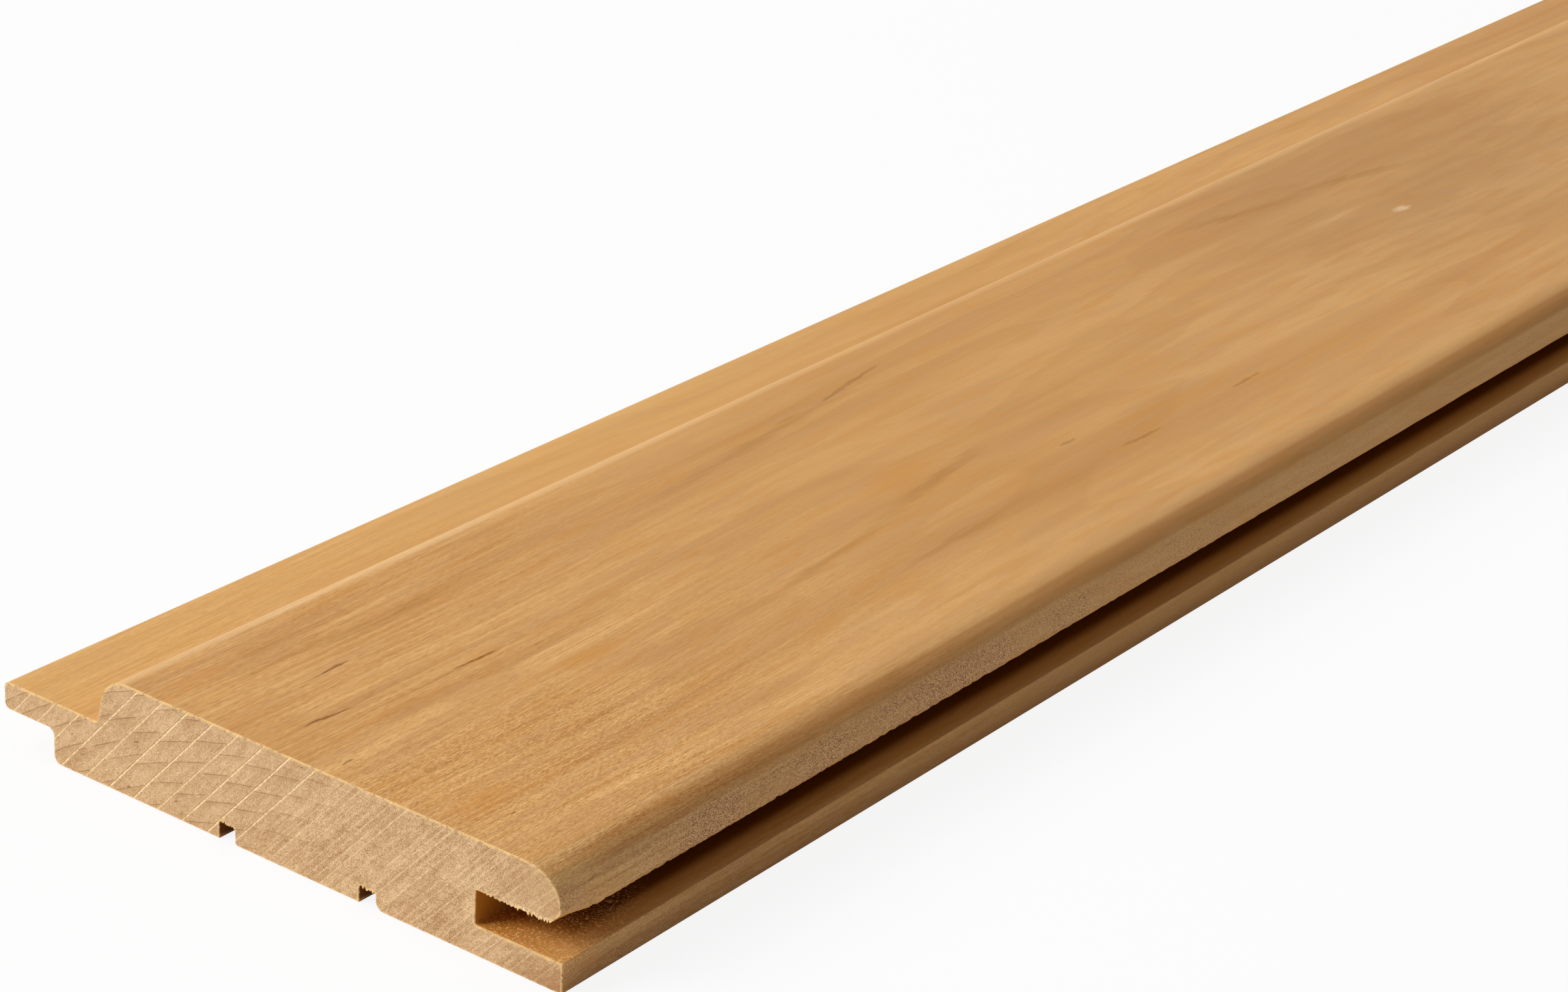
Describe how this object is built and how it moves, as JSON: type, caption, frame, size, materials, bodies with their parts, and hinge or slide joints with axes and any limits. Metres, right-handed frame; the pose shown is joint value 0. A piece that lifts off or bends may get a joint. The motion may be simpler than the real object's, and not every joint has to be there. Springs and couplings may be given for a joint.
{
  "type": "sauna board",
  "caption": "Planed hardwood lining board with a long tongue, a deep groove, soft face edges and relief grooves in the back, for cladding sauna walls and ceilings.",
  "frame": {"origin": "on the back, in the middle of the overall width and of the length", "axes": "+X across the board from the tongue to the groove, +Y along the board, +Z from the back to the face"},
  "size_m": [0.09, 1.2, 0.015],
  "materials": {
    "wood": "planed bare hardwood, satin"
  },
  "bodies": {
    "root": {"board": "wood"}
  },
  "joints": []
}
